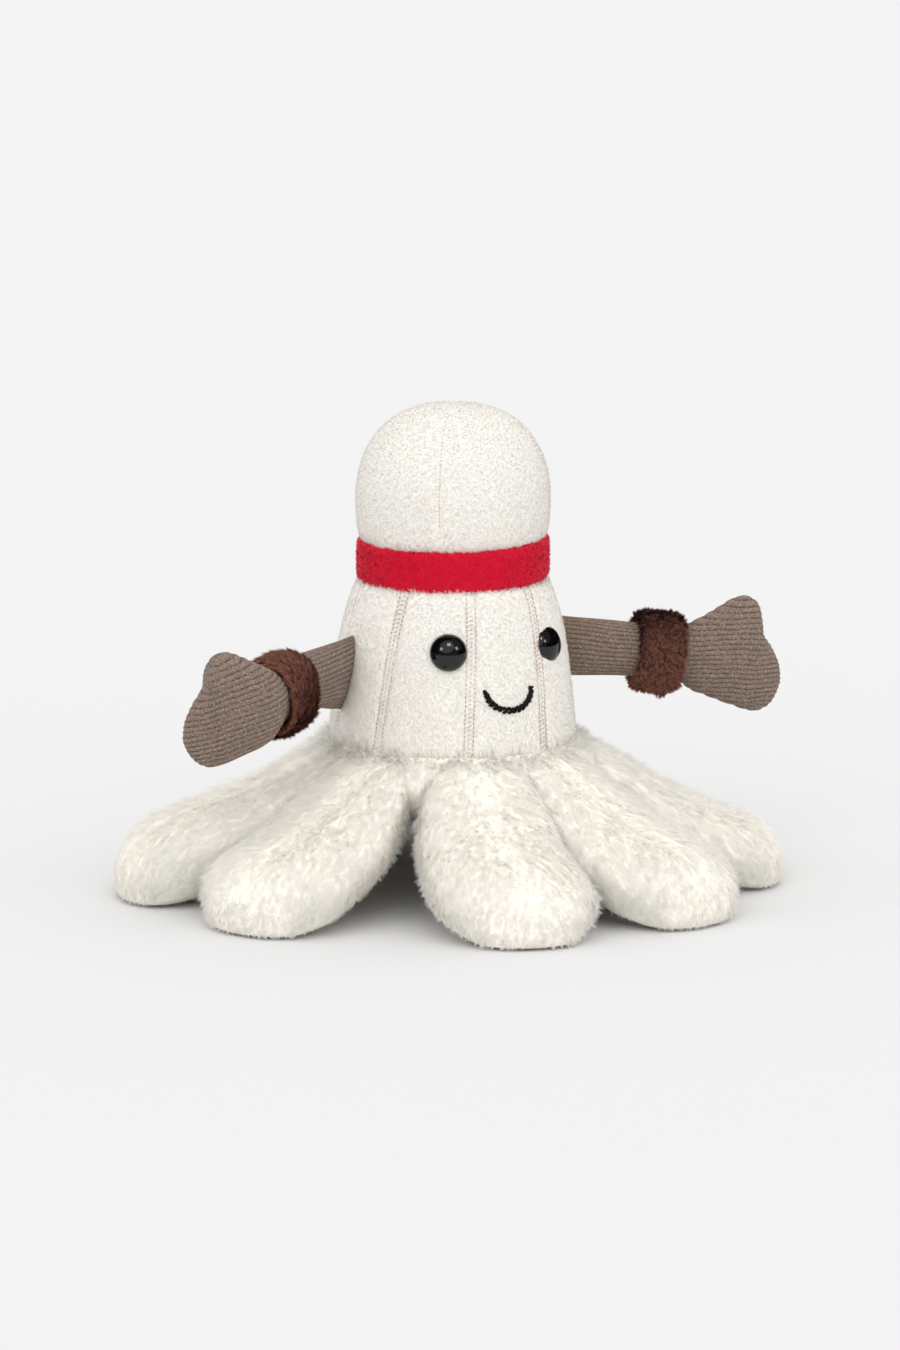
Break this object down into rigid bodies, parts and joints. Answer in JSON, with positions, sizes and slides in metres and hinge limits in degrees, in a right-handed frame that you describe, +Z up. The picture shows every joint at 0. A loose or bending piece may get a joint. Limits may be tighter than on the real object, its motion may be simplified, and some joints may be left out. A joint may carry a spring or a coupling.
{
  "type": "plush shuttlecock toy",
  "caption": "Stuffed shuttlecock toy with a domed cork, a panelled skirt, splayed fur feather legs, corduroy arms with fur cuffs, glossy bead eyes and an embroidered smile.",
  "frame": {"origin": "on the surface that the toy stands on, under the middle of its bounding box", "axes": "+Z up through the cork, -Y towards the front (the smile), +X towards the toy's left arm"},
  "size_m": [0.1703, 0.1627, 0.119],
  "materials": {
    "cream_fleece": "matte",
    "white_fur": "matte",
    "red_pile": "matte",
    "stuffing": "matte",
    "felt": "matte",
    "eye_gloss": "gloss",
    "washer_plastic": "satin",
    "smile_thread": "satin",
    "taupe_corduroy": "matte",
    "brown_fur": "matte"
  },
  "bodies": {
    "root": {"cork_gore_1": "cream_fleece", "cork_gore_2": "cream_fleece", "cork_gore_3": "cream_fleece", "cork_gore_4": "cream_fleece", "cork_filling": "stuffing", "neck_band": "red_pile", "skirt_panel_1": "cream_fleece", "skirt_panel_2": "cream_fleece", "skirt_panel_3": "cream_fleece", "skirt_panel_4": "cream_fleece", "skirt_panel_5": "cream_fleece", "skirt_panel_6": "cream_fleece", "skirt_panel_7": "cream_fleece", "skirt_panel_8": "cream_fleece", "skirt_panel_9": "cream_fleece", "body_filling": "stuffing", "bead_pouch": "felt", "base_disc": "felt", "fur_yoke": "white_fur", "eye_left": "eye_gloss", "eye_right": "eye_gloss", "eye_washer_left": "washer_plastic", "eye_washer_right": "washer_plastic", "smile": "smile_thread"},
    "leg_1": {"leg_1": "white_fur", "leg_filling_1": "stuffing"},
    "leg_2": {"leg_2": "white_fur", "leg_filling_2": "stuffing"},
    "leg_3": {"leg_3": "white_fur", "leg_filling_3": "stuffing"},
    "leg_4": {"leg_4": "white_fur", "leg_filling_4": "stuffing"},
    "leg_5": {"leg_5": "white_fur", "leg_filling_5": "stuffing"},
    "leg_6": {"leg_6": "white_fur", "leg_filling_6": "stuffing"},
    "leg_7": {"leg_7": "white_fur", "leg_filling_7": "stuffing"},
    "leg_8": {"leg_8": "white_fur", "leg_filling_8": "stuffing"},
    "leg_9": {"leg_9": "white_fur", "leg_filling_9": "stuffing"},
    "arm_root_left": {"arm_tab_left": "taupe_corduroy"},
    "arm_left": {"sleeve_left": "taupe_corduroy", "sleeve_filling_left": "stuffing", "cuff_left": "brown_fur"},
    "hand_left": {"hand_left": "taupe_corduroy", "hand_filling_left": "stuffing"},
    "arm_root_right": {"arm_tab_right": "taupe_corduroy"},
    "arm_right": {"sleeve_right": "taupe_corduroy", "sleeve_filling_right": "stuffing", "cuff_right": "brown_fur"},
    "hand_right": {"hand_right": "taupe_corduroy", "hand_filling_right": "stuffing"}
  },
  "joints": [
    {"name": "leg_flex_1", "type": "hinge", "parent": "root", "child": "leg_1", "pos_m": [0.00961, -0.02873, 0.0275], "axis": [-0.9483, -0.3173, 0], "range_deg": [-20, 15], "stiffness_Nm_per_rad": 0.25},
    {"name": "leg_flex_2", "type": "hinge", "parent": "root", "child": "leg_2", "pos_m": [0.02624, -0.01515, 0.0275], "axis": [-0.5, -0.866, 0], "range_deg": [-20, 15], "stiffness_Nm_per_rad": 0.25},
    {"name": "leg_flex_3", "type": "hinge", "parent": "root", "child": "leg_3", "pos_m": [0.02984, 0.00526, 0.0275], "axis": [0.1736, -0.9848, 0], "range_deg": [-20, 15], "stiffness_Nm_per_rad": 0.25},
    {"name": "leg_flex_4", "type": "hinge", "parent": "root", "child": "leg_4", "pos_m": [0.01948, 0.02321, 0.0275], "axis": [0.766, -0.6428, 0], "range_deg": [-20, 15], "stiffness_Nm_per_rad": 0.25},
    {"name": "leg_flex_5", "type": "hinge", "parent": "root", "child": "leg_5", "pos_m": [0, 0.0303, 0.0275], "axis": [1, 0, 0], "range_deg": [-20, 15], "stiffness_Nm_per_rad": 0.25},
    {"name": "leg_flex_6", "type": "hinge", "parent": "root", "child": "leg_6", "pos_m": [-0.01948, 0.02321, 0.0275], "axis": [0.766, 0.6428, 0], "range_deg": [-20, 15], "stiffness_Nm_per_rad": 0.25},
    {"name": "leg_flex_7", "type": "hinge", "parent": "root", "child": "leg_7", "pos_m": [-0.02993, 0.00474, 0.0275], "axis": [0.1564, 0.9877, 0], "range_deg": [-20, 15], "stiffness_Nm_per_rad": 0.25},
    {"name": "leg_flex_8", "type": "hinge", "parent": "root", "child": "leg_8", "pos_m": [-0.0265, -0.01469, 0.0275], "axis": [-0.4848, 0.8746, 0], "range_deg": [-20, 15], "stiffness_Nm_per_rad": 0.25},
    {"name": "leg_flex_9", "type": "hinge", "parent": "root", "child": "leg_9", "pos_m": [-0.00911, -0.0289, 0.0275], "axis": [-0.9537, 0.3007, 0], "range_deg": [-20, 15], "stiffness_Nm_per_rad": 0.25},
    {"name": "shoulder_swing_left", "type": "hinge", "parent": "root", "child": "arm_root_left", "pos_m": [0.02915, 0.00514, 0.0555], "axis": [0.1274, 0.0225, -0.9916], "range_deg": [-55, 32], "stiffness_Nm_per_rad": 0.03},
    {"name": "shoulder_lift_left", "type": "hinge", "parent": "arm_root_left", "child": "arm_left", "pos_m": [0.03764, 0.00235, 0.05653], "axis": [-0.3051, -0.9504, -0.0607], "range_deg": [-15, 45], "stiffness_Nm_per_rad": 0.04},
    {"name": "wrist_bend_left", "type": "hinge", "parent": "arm_left", "child": "hand_left", "pos_m": [0.06945, -0.00766, 0.05336], "axis": [-0.1212, 0.102, -0.9874], "range_deg": [-45, 45], "stiffness_Nm_per_rad": 0.02},
    {"name": "shoulder_swing_right", "type": "hinge", "parent": "root", "child": "arm_root_right", "pos_m": [-0.02915, 0.00514, 0.0555], "axis": [0.1274, -0.0225, 0.9916], "range_deg": [-70, 13], "stiffness_Nm_per_rad": 0.03},
    {"name": "shoulder_lift_right", "type": "hinge", "parent": "arm_root_right", "child": "arm_right", "pos_m": [-0.03628, -0.00029, 0.05629], "axis": [-0.5958, 0.7976, 0.0946], "range_deg": [-12, 45], "stiffness_Nm_per_rad": 0.04},
    {"name": "wrist_bend_right", "type": "hinge", "parent": "arm_right", "child": "hand_right", "pos_m": [-0.06318, -0.01997, 0.05286], "axis": [-0.194, -0.0915, 0.9767], "range_deg": [-15, 60], "stiffness_Nm_per_rad": 0.02}
  ]
}
